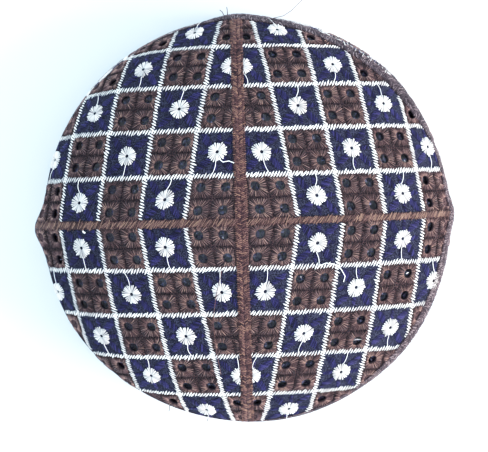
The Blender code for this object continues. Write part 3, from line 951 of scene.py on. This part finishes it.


# Dark stitches along the lines that part a brown square's four eyelets, standing for the dark ground and
# painted shade in the gaps between their stitches

parting = {
    # where the lines cross, in sides of the square, and how many points each has
    "crown": (0.487, 0.517, 12),
    "wall": (0.5, 0.505, 6),
    "ends": (0.07, 0.93),
    "breadth": 0.9 * mm,
    "lean": 0.7,
    "edgeRoom": 0.5 * mm,
    "satin": {"Stitch": "fine", "Material": "dark", "Spacing": 1.1 * mm, "Thread width": 0.5 * mm,
              "Thread height": 0.3 * mm, "Uneven length": 0.3, "Uneven slant": 0.5, "Lift": 0.3 * mm},
}


def crossLines(column, row, cross, place):
    # an upright and a level line through a square, if it's a brown one
    x, y, count = cross
    shares = [] if isNavy(column, row) else np.linspace(*parting["ends"], count)
    return ([place(column + x, row + share) for share in shares],
            [place(column + share, row + y) for share in shares])


def swayed(size, count):
    # leans that turn from side to side, line by line
    return [size if k % 2 else -size for k in range(count)]


def partingStitches(name, lines, bend, seed):
    guide = guideMesh(lines, reach=parting["breadth"], lean=swayed(parting["lean"], len(lines)))
    return sewPiece(name, "satin", guide, bend, parting["satin"], seed)


room = (form["longBand"] / 2, form["sideBand"] / 2, parting["edgeRoom"])
lines = [run for gore in gores for square in goreSquares
         for line in crossLines(*square, parting["crown"], gorePlace)
         for run in insideRuns(gore, line, room)]
crownPartings = partingStitches("partings_crown", lines, overGores, 27)
lines = [line for square in wallSquares for line in crossLines(*square, parting["wall"], wallPlace) if line]
wallPartings = partingStitches("partings_wall", lines, overWall, 28)


# White flowers, and the purple leaves round each

flower = {
    "radius": 4.1 * mm,
    "shortest": 3.8 * mm,         # towards a side of the square, where a flower is flattest
    "fullest": 1.15,              # of its radius
    "wander": 0.02,               # of a square's side
    "wanderSeed": 5,
    "turn": 0.37,                 # from one flower to the next
    "hidden": 3.5 * mm,           # flowers this far past a seam are left out
    # the flowers' white is a darker tone than the lines', painted shade for the grooves between their stitches
    "rays": {"Stitch": "petal", "Material": "white", "Count": 25, "Start": 0.65 * mm, "Thread width": 0.66 * mm,
             "Thread height": 0.6 * mm, "Uneven length": 0.1, "Uneven angle": 0.18, "Lift": 0.1 * mm,
             "Darker": 0.15},
}
leaf = {
    "start": 3.4 * mm,
    "ends": (8.0 * mm, 10.6 * mm),     # of the leaves that point to the sides and to the corners
    "widths": (2.6 * mm, 4.0 * mm),
    "lean": 0.5,
    "satin": {"Stitch": "fine", "Material": "purple", "Spacing": 0.4 * mm, "Thread width": 0.42 * mm,
              "Thread height": 0.34 * mm, "Leaf": 1.0, "Uneven length": 0.12, "Uneven slant": 0.15},
}


def navySquares():
    # the flowers' gores, rows and places on the gores' cloth
    rng = np.random.default_rng(flower["wanderSeed"])
    found = []
    for gore in gores:
        for column, row in goreSquares:
            if column >= 0:
                drift = rng.uniform(-flower["wander"], flower["wander"], 2)
                x, y = gorePlace(column + 0.5 + drift[0], row + 0.5 + drift[1])
                if isNavy(column, row) and min(roomLeft(gore, x, y)) > -flower["hidden"]:
                    found.append((gore, row, x, y))
    return found


def flowers(name, middles, bend, seed):
    rng = np.random.default_rng(seed)
    span = (flower["shortest"], flower["radius"] * flower["fullest"], len(middles))
    spans = {key: rng.uniform(*span) for key in ("lowX", "highX", "lowY", "highY")}
    guide = guideMesh([[middle] for middle in middles], turn=flower["turn"] * np.arange(len(middles)), **spans)
    return sewPiece(name, "rays", guide, bend, {**flower["rays"], "Longest": flower["radius"]}, seed)


def leaves(name, middles, bend, seed):
    # eight leaves round each flower, with the corner ones longer and wider
    lines = []
    for middle in middles:
        for k in range(8):
            toX, toY = math.cos(k * math.pi / 4), math.sin(k * math.pi / 4)
            outs = np.linspace(leaf["start"], leaf["ends"][k % 2], 5)
            lines.append([(middle[0] + toX * out, middle[1] + toY * out) for out in outs])
    guide = guideMesh(lines, reach=leaf["widths"] * (len(lines) // 2), lean=swayed(leaf["lean"], len(lines)))
    return sewPiece(name, "satin", guide, bend, leaf["satin"], seed)


crownMiddles = navySquares()
tableMiddles = [tablePlace(gore, x, y) for gore, row, x, y in crownMiddles]
wallMiddles = [wallPlace(column + 0.5, level + 0.5) for column, level in wallSquares if isNavy(column, level)]
crownFlowers = flowers("flowers_crown", tableMiddles, overGores, 31)
wallFlowers = flowers("flowers_wall", wallMiddles, overWall, 32)
crownLeaves = leaves("leaves_crown", tableMiddles, overGores, 33)
wallLeaves = leaves("leaves_wall", wallMiddles, overWall, 34)
print("flowers made:", len(tableMiddles), "on the crown and", len(wallMiddles), "on the wall")


# Jump threads from each flower to the next line

tail = {
    "start": 0.9,                 # of the flower's radius
    "lift": 0.35 * mm,
    "rise": 0.25 * mm,
    "drift": 2.2,                 # to either side at its end, in millimetres
    "bow": 0.9 * mm,
    "points": 9,
    "seed": 9,
    "thread": {"Material": "white", "Thread width": 0.26 * mm, "Shade": 0.7},
}
lines = []
rng = np.random.default_rng(tail["seed"])
for (gore, row, x, y), middle in zip(crownMiddles, tableMiddles):
    # up from the flowers of even rows and down from the others
    up = row % 2 == 0
    start, end = tail["start"] * flower["radius"], abs((row + up) * cell - y)
    drift = rng.uniform(-tail["drift"], tail["drift"]) * mm
    bow = rng.uniform(-1, 1) * tail["bow"]
    way = gore["end"] * (1 if up else -1)
    lines.append([(middle[0] + bow * math.sin(math.pi * share) + drift * share,
                   middle[1] + way * (start + (end - start) * share),
                   tail["lift"] + tail["rise"] * math.sin(math.pi * share))
                  for share in np.linspace(0, 1, tail["points"])])
crownTails = sewPiece("jump_threads_crown", "thread", guideMesh(lines), overGores, tail["thread"])


# Bands: a firm strip with satin stitch over it

band = {
    "thickness": 0.55 * mm,       # of the strip
    "edges": 0.75,                # share of it that the strip's edges have
    "shade": 0.05,
    "foot": 0.02 * mm,            # its underside over the cloth
    "inset": 0.2 * mm,            # the strip's sides lie this far inside its stitches
    # points across a strip and along it, and along the rows of its stitches
    "across": 6,
    "along": 60,
    "longPoints": 160,
    "sidePoints": 100,
    "edgeAcross": 8,
    "edgeAlong": 360,
    "edgePoints": 720,
    "strayPoints": 60,
    "tuck": 0.2 * mm,             # the side bands run this far under the long one
    "rightLess": 0.5 * mm,        # the right band is this much narrower than the left
    "satin": {"Stitch": "fine", "Material": "braid", "Thread height": 0.45 * mm, "Uneven length": 0.25,
              "Uneven slant": 0.25, "Lift": 0.44 * mm},
    # a chain of V stitches down the long band, with a row of short loops along each side: the rows' places
    # across it and their breadths, in widths of the band, their leans and seed, and their thread
    "long": (
        ("seam_satin_long", 0.17, 0.391, (-0.5, 0.5), 41, {"Spacing": 0.74 * mm, "Thread width": 0.66 * mm}),
        ("seam_loops_long", 0.41, 0.24, (-0.2, 0.15), 46, {"Spacing": 0.8 * mm, "Thread width": 0.56 * mm}),
    ),
    "side": {"Material": "tan", "Spacing": 0.54 * mm, "Thread width": 0.46 * mm},
    "sideBreadth": 1.1,
    "sideLean": -0.6,
    "edge": {"Material": "edge", "Spacing": 0.72 * mm, "Thread width": 0.46 * mm, "Uneven length": 0.4,
             "Uneven slant": 0.4},
    "edgeRows": (0.18, 0.5, 0.82),      # places down the edge band, in its widths
    "edgeBreadth": 0.36,
    "edgeLeans": (0.3, -0.4, 0.2),
    # a few white and purple stitches have strayed onto the edge behind the right gore: the ends of their
    # rows in degrees, the place down the band, the thread and the seed
    "strays": (("edge_strays_white", (43.0, 66.0), 0.6, "white", 46),
               ("edge_strays_navy", (47.0, 68.0), 0.65, "purple", 47)),
    "stray": {"Stitch": "fine", "Spacing": 1.9 * mm, "Thread width": 0.34 * mm, "Thread height": 0.3 * mm,
              "Uneven length": 0.8, "Uneven slant": 0.9, "Lift": 0.75 * mm},
    "strayBreadth": 1.5 * mm,
    "strayLean": 0.9,
}


def stripMesh(name, rows, closed):
    # closed solid through rows of section points, each row a loop round the strip
    strip = bmesh.new()
    loops = [[strip.verts.new(point) for point in row] for row in rows]
    following = loops[1:] + ([loops[0]] if closed else [])
    for loop, after in zip(loops, following):
        for k in range(len(loop)):
            j = (k + 1) % len(loop)
            strip.faces.new((loop[k], loop[j], after[j], after[k]))
    if not closed:
        strip.faces.new(list(reversed(loops[0])))
        strip.faces.new(loops[-1])
    bmesh.ops.recalc_face_normals(strip, faces=strip.faces)
    mesh = bpy.data.meshes.new(name)
    strip.to_mesh(mesh)
    strip.free()
    shades = np.full(len(mesh.vertices), band["shade"], np.float32)
    mesh.attributes.new("shade", "FLOAT", "POINT").data.foreach_set("value", shades)
    return mesh


def addStrip(name, rows, bend, closed, material="braid"):
    return addPiece(name, bendMesh(stripMesh(name, rows, closed), bend), material)


def stripSection(low, high, steps):
    # flat below and a little crowned above, as offsets across the strip and heights over the cloth
    low, high = low + band["inset"], high - band["inset"]
    heights = [band["thickness"] * (band["edges"] + (1 - band["edges"]) * math.sin(math.pi * k / steps))
               for k in range(steps + 1)]
    top = [(low + (high - low) * k / steps, height) for k, height in enumerate(heights)]
    return [(low, band["foot"])] + top + [(high, band["foot"])]


def satinBand(name, lines, reach, leans, bend, seed, thread):
    guide = guideMesh(lines, reach=reach, lean=leans)
    return sewPiece(name, "satin", guide, bend, {**band["satin"], **thread}, seed)


def bandReach(seam, width):
    spread = width / 2 / form["crownArc"]
    return float(min(edgeArc(seam - spread), edgeArc(seam + spread)) - edgeReach(seam))


width = form["longBand"]
longEnds = (-bandReach(-math.pi / 2, width), bandReach(math.pi / 2, width))
section = stripSection(-width / 2, width / 2, band["across"])
rows = [[(offset, place, height) for offset, height in section]
        for place in np.linspace(*longEnds, band["along"])]
longStrip = addStrip("seam_strip_long", rows, overSeams, False)
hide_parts("seam_band_long")
for name, place, breadth, leans, seed, thread in band["long"]:
    lines = [[(side * place * width, y) for y in np.linspace(*longEnds, band["longPoints"])] for side in (-1, 1)]
    satinBand(name, lines, breadth * width, leans, overSeams, seed, thread)
for hand, side, seam, node, less in (("right", 1, 0.0, "seam_band_right", band["rightLess"]),
                                     ("left", -1, math.pi, "seam_band_left", 0.0)):
    start, end = side * (form["longBand"] / 2 - band["tuck"]), side * bandReach(seam, form["sideBand"])
    width = form["sideBand"] - less
    section = stripSection(-width / 2, width / 2, band["across"])
    rows = [[(place, offset, height) for offset, height in section]
            for place in np.linspace(start, end, band["along"])]
    strip = addStrip("seam_strip_" + hand, rows, overSeams, False)
    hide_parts(node)
    line = [(x, 0.0) for x in np.linspace(start, end, band["sidePoints"])]
    satinBand("seam_satin_" + hand, [line], width * band["sideBreadth"], band["sideLean"], overSeams, 42 + side,
              band["side"])

edgeWidth = form["edgeAbove"] + form["edgeBelow"]
section = stripSection(-form["edgeBelow"], form["edgeAbove"], band["edgeAcross"])
rows = [[(place, offset, height) for offset, height in section]
        for place in np.linspace(0, wallRound, band["edgeAlong"], endpoint=False)]
edgeStrip = addStrip("edge_strip", rows, overEdge, True, "edge")
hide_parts("crown_edge_band")
ring = np.linspace(0, wallRound, band["edgePoints"] + 1)
lines = [[(x, form["edgeAbove"] - edgeWidth * share) for x in ring] for share in band["edgeRows"]]
satinBand("edge_satin", lines, edgeWidth * band["edgeBreadth"], band["edgeLeans"], overEdge, 45, band["edge"])
for name, ends, share, material, seed in band["strays"]:
    line = [(math.radians(turn) * layout["wallRadius"], form["edgeAbove"] - edgeWidth * share)
            for turn in np.linspace(*ends, band["strayPoints"])]
    guide = guideMesh([line], reach=band["strayBreadth"], lean=band["strayLean"])
    sewPiece(name, "satin", guide, overEdge, {**band["stray"], "Material": material}, seed)


# Loose threads, and white ends in the eyelets that paint specks of light: their thread, width in millimetres,
# shade and path, in millimetres from the crown's centre, degrees round it and millimetres over the cloth

looseThreads = [
    # broken ends on the crown's edge
    ("braid", 0.3, 0.2, ((95.9, 80.2, 0.2), (96.5, 79.2, 0.9), (96.4, 76.8, 2.5), (96.4, 75.0, 5.3),
                         (96.4, 73.8, 8.4), (96.3, 72.8, 11.0))),
    ("braid", 0.35, 0.3, ((96.0, 92.2, 0.3), (96.5, 92.2, 1.4), (96.5, 92.1, 2.7), (96.5, 92.1, 4.2))),
    ("braid", 0.35, 0.3, ((96.0, 93.1, 0.3), (96.4, 93.3, 1.2), (96.4, 93.5, 2.5), (96.4, 94.0, 3.5))),
    ("braid", 0.35, 0.2, ((94.0, -112.9, 0.2), (94.6, -112.7, 1.0), (95.2, -112.5, 1.9), (95.6, -112.5, 2.7))),
    ("braid", 0.35, 0.2, ((94.4, -101.4, 0.2), (95.0, -101.3, 1.0), (95.4, -101.3, 2.0))),
    # a white end that curls over two squares, one pulled across to the long band, and a knot
    ("white", 0.34, 0.9, ((37.1, -31.1, 0.5), (38.8, -27.7, 1.2), (42.1, -26.3, 1.4), (45.8, -27.2, 1.4),
                          (48.8, -29.5, 1.3), (49.7, -32.3, 0.7))),
    ("white", 0.38, 0.9, ((27.8, 108.4, 0.7), (25.6, 105.4, 0.9), (25.4, 99.8, 1.0), (24.2, 95.4, 1.2))),
    ("white", 0.7, 1.0, ((68.4, -177.9, 0.7), (67.9, -177.6, 1.3), (67.4, -177.3, 0.8))),
    # a long brown one across the front left gore
    ("braid", 0.25, 0.5, ((21.1, -113.7, 0.6), (32.3, -110.6, 0.9), (42.6, -107.8, 0.9), (54.6, -103.1, 0.9),
                         (66.9, -99.3, 0.6))),
    # white ends down in the eyelets: painted specks of the light that falls through the other eyelets onto the
    # floor inside the cap
    ("white", 0.45, 0.7, ((76.6, -19.6, -0.8), (77.2, -19.2, -1.0), (77.7, -19.0, -0.8))),
    ("white", 0.3, 0.3, ((71.6, -48.3, 0.1), (72.9, -47.4, -0.8), (73.8, -46.5, 0.1))),
    ("white", 0.35, 0.2, ((9.8, -142.5, -0.9), (10.3, -139.5, -1.1))),
    ("white", 0.35, 0.2, ((33.7, -44.9, -0.9), (34.2, -44.2, -1.1))),
    ("white", 0.35, 0.2, ((76.7, 18.6, -0.9), (77.3, 18.1, -1.1))),
]
for material, slot in (("braid", "brown_braid"), ("white", "embroidered_cotton")):
    joined = bmesh.new()
    for kind, width, shade, path in looseThreads:
        if kind == material:
            arc, turn, lift = (np.array(part) for part in zip(*path))
            line = lifted(capPoint, arc * mm, np.radians(turn), lift * mm)
            inputs = {"Material": material, "Thread width": width * mm, "Shade": shade}
            joined.from_mesh(runTree("thread", guideMesh([line]), inputs))
    mesh = bpy.data.meshes.new("loose_threads_" + material)
    joined.to_mesh(mesh)
    joined.free()
    addPiece("loose_threads_" + material, mesh, material)


# Rim tape, folded up over the wall's foot

rim = {
    "fold": 0.8 * mm,
    "gap": 0.3 * mm,
    "chamfer": 0.3 * mm,
    "steps": 300,
    "middle": 0.2 * mm,           # of its stitches, over the middle of the tape
    "breadth": form["binding"] - 0.6 * mm,
    "lean": 0.15,
    "satin": {"Stitch": "satin", "Material": "braid", "Spacing": 0.85 * mm, "Thread width": 0.85 * mm,
              "Thread height": 0.4 * mm, "Uneven length": 0.04, "Uneven slant": 0.05, "Lift": 1.0 * mm},
}
top = form["binding"]
outside, inside = rim["gap"] + rim["fold"], -form["cloth"] - rim["gap"]
section = [(outside, 0.0), (outside, top - rim["chamfer"]), (outside - rim["chamfer"], top), (rim["gap"], top),
           (rim["gap"], rim["fold"]), (inside, rim["fold"]), (inside, top), (inside - rim["fold"], top),
           (inside - rim["fold"], 0.0)]
rows = [[(place, height, lift) for lift, height in section]
        for place in np.linspace(0, wallRound, rim["steps"], endpoint=False)]
rimTape = addStrip("rim_tape", rows, overRim, True)
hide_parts("rim_binding")
guide = guideMesh([[(x, top / 2 + rim["middle"]) for x in ring]], reach=rim["breadth"], lean=rim["lean"])
sewPiece("rim_satin", "satin", guide, overRim, rim["satin"], 51)
print("bands made")


# Floor, light and camera

stage = {
    "floorHalf": 3.0,
    # less light falls straight down, where the camera hid the sky: inputs of the two ranges that turn the
    # sky's height into its strength and its tint
    "strength": {1: 0.5, 2: 0.85, 3: 2.16, 4: 1.2},
    "tint": {1: 0.4, 2: 0.9, 3: 0.0, 4: 1.0},
    "tints": {6: (0.79, 0.96, 1.04, 1.0), 7: (0.62, 0.86, 1.12, 1.0)},
    "window": (1.21, -0.38, 0.795),
    "windowAim": (0, 0, 0.04),
    "windowSize": 1.0,
    "windowPower": 30.5,
    "windowColour": (1.0, 0.94, 0.87),
}
# the photograph's camera: nearly overhead, 0.8 m up, leaning a little to the back
view = {"right": 0.00554, "back": 0.02495, "up": 0.807, "leanX": -0.0331, "leanY": 0.00462, "roll": -0.02952,
        "focalPixels": 1978.1, "imageWidth": 488, "sensor": 36.0}
# and its contrast: its shadows sink and its pale tones run up to white
toneCurve = ((0.0100, 0.0066), (0.0331, 0.0220), (0.0732, 0.0529), (0.1329, 0.1160), (0.2140, 0.2140),
             (0.3801, 0.4269), (0.6038, 0.6921), (0.7874, 0.8689))


def buildStage():
    material, tree, shader = newMaterial("pale_paper_floor")
    setInputs(shader, {"Base Color": linear("#f2f4f5"), "Roughness": 0.9, "Specular IOR Level": 0.1})
    mesh = bpy.data.meshes.new("floor")
    half = stage["floorHalf"]
    corners = [(x * half, y * half, 0) for x, y in ((-1, -1), (1, -1), (1, 1), (-1, 1))]
    mesh.from_pydata(corners, [], [(0, 1, 2, 3)])
    floor = bpy.data.objects.new("floor", mesh)
    scene.collection.objects.link(floor)
    mesh.materials.append(material)
    floor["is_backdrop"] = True
    world = bpy.data.worlds.new("soft_daylight")
    world.use_nodes = True
    tree = world.node_tree
    way = addNode(tree, "ShaderNodeTexCoord").outputs["Generated"]
    height = addNode(tree, "ShaderNodeSeparateXYZ", {0: way}).outputs["Z"]
    strength = addNode(tree, "ShaderNodeMapRange", {0: height, **stage["strength"]},
                       interpolation_type="SMOOTHSTEP")
    share = addNode(tree, "ShaderNodeMapRange", {0: height, **stage["tint"]})
    tint = addNode(tree, "ShaderNodeMix", {0: share.outputs[0], **stage["tints"]}, data_type="RGBA")
    setInputs(tree.nodes["Background"], {"Strength": strength.outputs[0], "Color": tint.outputs[2]})
    scene.world = world
    lamp = bpy.data.lights.new("window", "AREA")
    lamp.shape = "DISK"
    lamp.size = stage["windowSize"]
    lamp.energy = stage["windowPower"]
    lamp.color = stage["windowColour"]
    window = bpy.data.objects.new("window", lamp)
    scene.collection.objects.link(window)
    window.location = stage["window"]
    window.rotation_euler = (Vector(stage["windowAim"]) - window.location).to_track_quat("-Z", "Y").to_euler()


def buildCamera():
    data = bpy.data.cameras.new("camera")
    data.sensor_width = view["sensor"]
    data.lens = view["focalPixels"] / view["imageWidth"] * view["sensor"]
    data.clip_start = 0.01
    camera = bpy.data.objects.new("camera", data)
    scene.collection.objects.link(camera)
    parts = (("centreX", "right"), ("centreY", "back"), ("height", "up"))
    placed = Matrix.Translation(Vector([form[key] + view[way] for key, way in parts]))
    for key, axis in (("roll", "Z"), ("leanY", "Y"), ("leanX", "X")):
        placed = placed @ Matrix.Rotation(view[key], 4, axis)
    camera.matrix_world = placed
    scene.camera = camera


buildStage()
buildCamera()
scene.view_settings.view_transform = "Standard"
scene.view_settings.use_curve_mapping = True
grade = scene.view_settings.curve_mapping
for before, after in toneCurve:
    grade.curves[3].points.new(before, after)
grade.update()
bpy.context.view_layer.update()
counts = {piece.name: sum(len(face.vertices) - 2 for face in piece.data.polygons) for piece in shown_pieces()}
print("triangles:", counts, "in all", sum(counts.values()))
